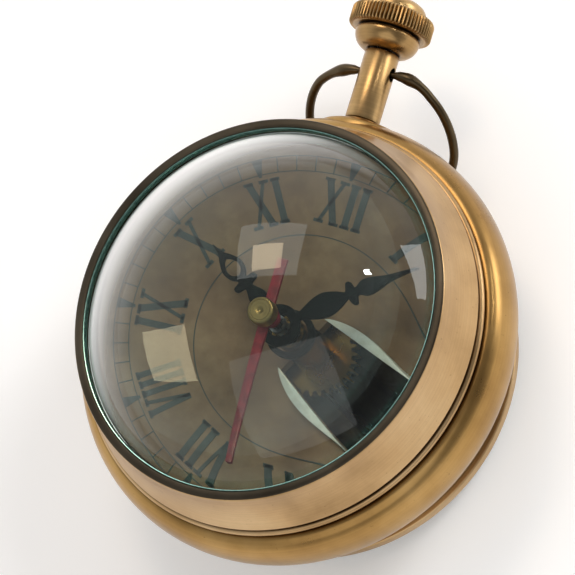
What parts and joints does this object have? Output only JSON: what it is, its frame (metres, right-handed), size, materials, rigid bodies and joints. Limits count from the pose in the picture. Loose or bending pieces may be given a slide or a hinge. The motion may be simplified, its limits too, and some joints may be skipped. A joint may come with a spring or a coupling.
{
  "type": "table clock",
  "caption": "Round brass mechanical table clock with a high domed magnifying lens, open movement behind the dial, knurled winding crown and swinging bow, lying on a thick glass back.",
  "frame": {"origin": "centre of the bounding box's bottom face, on the plane the rear glass rests on; the clock's own axis stands at y = -0.0104", "axes": "+Z is the way the dial faces, away from the surface the clock lies on; +Y points from the dial's centre to 12 o'clock and the crown; +X points to 3 o'clock"},
  "size_m": [0.07, 0.0908, 0.0463],
  "materials": {
    "case_brass": "polished, softly aged",
    "dark_brass": "darkened by age",
    "plate_brass": "fine grained",
    "wheel_brass": "machined",
    "pale_brass": "turned",
    "steel": "ground",
    "blued_steel": "heat blued",
    "hand_steel": "blackened",
    "second_hand_paint": "red enamel",
    "dial": "matt, aged tan",
    "lens_glass": "polished"
  },
  "bodies": {
    "case": {"case_band": "case_brass", "front_bezel": "case_brass", "rear_bezel": "case_brass", "front_lens": "lens_glass", "lens_retaining_ring": "dark_brass", "rear_glass": "lens_glass", "rear_glass_ring": "dark_brass", "pendant_tube": "case_brass", "movement_ring": "case_brass", "dial_plate": "dial", "dial_flange": "dark_brass", "main_plate": "plate_brass", "barrel_bridge": "plate_brass", "train_bridge": "plate_brass", "balance_cock": "plate_brass", "hairspring": "blued_steel", "hairspring_stud": "steel", "click_screw": "blued_steel", "bridge_screw_1": "blued_steel", "bridge_screw_2": "blued_steel", "bridge_screw_3": "blued_steel", "bridge_screw_4": "blued_steel", "bridge_screw_5": "blued_steel", "bridge_screw_6": "blued_steel", "cock_screw": "blued_steel"},
    "seconds_arbor": {"fourth_wheel": "wheel_brass", "second_hand": "second_hand_paint", "hand_cap": "pale_brass"},
    "minute_arbor": {"centre_wheel": "wheel_brass", "cannon_pinion": "steel", "minute_hand": "hand_steel"},
    "hour_sleeve": {"hour_wheel": "wheel_brass", "hour_hand": "hand_steel"},
    "minute_wheel_arbor": {"minute_wheel": "wheel_brass"},
    "third_arbor": {"third_wheel": "wheel_brass"},
    "escape_arbor": {"escape_wheel": "steel"},
    "barrel": {"mainspring_barrel": "wheel_brass"},
    "pallet_arbor": {"pallet_fork": "steel"},
    "balance": {"balance_wheel": "wheel_brass", "balance_staff": "steel"},
    "winding_sleeve": {"winding_pinion": "steel"},
    "crown_and_stem": {"crown": "case_brass", "winding_stem": "steel"},
    "crown_wheel_arbor": {"crown_wheel": "steel"},
    "ratchet": {"ratchet_wheel": "steel", "barrel_arbor": "steel"},
    "click_arm": {"click": "steel"},
    "bow_ring": {"bow": "dark_brass"}
  },
  "joints": [
    {"name": "seconds_turn", "type": "hinge", "parent": "case", "child": "seconds_arbor", "pos_m": [0, -0.0104, 0.0186], "axis": [0, 0, -1], "continuous": true},
    {"name": "minutes_turn", "type": "hinge", "parent": "case", "child": "minute_arbor", "pos_m": [0, -0.0104, 0.0186], "axis": [0, 0, -1], "continuous": true},
    {"name": "hours_turn", "type": "hinge", "parent": "case", "child": "hour_sleeve", "pos_m": [0, -0.0104, 0.0186], "axis": [0, 0, -1], "continuous": true},
    {"name": "minute_wheel_turn", "type": "hinge", "parent": "case", "child": "minute_wheel_arbor", "pos_m": [-0.00347, -0.00626, 0.0186], "axis": [0, 0, -1], "continuous": true},
    {"name": "third_wheel_turn", "type": "hinge", "parent": "case", "child": "third_arbor", "pos_m": [-0.00704, -0.01533, 0.0186], "axis": [0, 0, -1], "continuous": true},
    {"name": "escape_wheel_turn", "type": "hinge", "parent": "case", "child": "escape_arbor", "pos_m": [0.0022, -0.01861, 0.0186], "axis": [0, 0, -1], "continuous": true},
    {"name": "barrel_turn", "type": "hinge", "parent": "case", "child": "barrel", "pos_m": [0.0086, -0.0044, 0.0186], "axis": [0, 0, -1], "continuous": true},
    {"name": "pallet_rock", "type": "hinge", "parent": "case", "child": "pallet_arbor", "pos_m": [0.00609, -0.01827, 0.0186], "axis": [0, 0, 1], "range_deg": [-5, 5]},
    {"name": "balance_swing", "type": "hinge", "parent": "case", "child": "balance", "pos_m": [0.00902, -0.01801, 0.0105], "axis": [0, 0, 1], "range_deg": [-270, 270], "stiffness_Nm_per_rad": 0.00000072},
    {"name": "crown_turn", "type": "hinge", "parent": "case", "child": "winding_sleeve", "pos_m": [0, 0.005, 0.0186], "axis": [0, 1, 0], "continuous": true},
    {"name": "crown_pull", "type": "slide", "parent": "winding_sleeve", "child": "crown_and_stem", "axis": [0, 1, 0], "range_m": [0, 0.0015]},
    {"name": "crown_wheel_turn", "type": "hinge", "parent": "case", "child": "crown_wheel_arbor", "pos_m": [0, 0.0019, 0.0186], "axis": [0, 0, 1], "continuous": true},
    {"name": "ratchet_turn", "type": "hinge", "parent": "case", "child": "ratchet", "pos_m": [0.0086, -0.0044, 0.0186], "axis": [0, 0, 1], "continuous": true},
    {"name": "click_lift", "type": "hinge", "parent": "case", "child": "click_arm", "pos_m": [0.01781, -0.00105, 0.0108], "axis": [0, 0, -1], "range_deg": [0, 12], "stiffness_Nm_per_rad": 0.000002},
    {"name": "bow_swing", "type": "hinge", "parent": "case", "child": "bow_ring", "pos_m": [0, 0.0331, 0.0186], "axis": [1, 0, 0], "range_deg": [-2, 257]}
  ],
  "couplings": [
    {"joint": "minutes_turn", "follows": "seconds_turn", "ratio": 0.016667},
    {"joint": "hours_turn", "follows": "seconds_turn", "ratio": 0.0013889},
    {"joint": "minute_wheel_turn", "follows": "seconds_turn", "ratio": -0.0055556},
    {"joint": "third_wheel_turn", "follows": "seconds_turn", "ratio": -0.13333},
    {"joint": "escape_wheel_turn", "follows": "seconds_turn", "ratio": -8},
    {"joint": "barrel_turn", "follows": "seconds_turn", "ratio": -0.002381},
    {"joint": "crown_wheel_turn", "follows": "crown_turn", "ratio": 0.5},
    {"joint": "ratchet_turn", "follows": "crown_turn", "ratio": -0.26316}
  ]
}
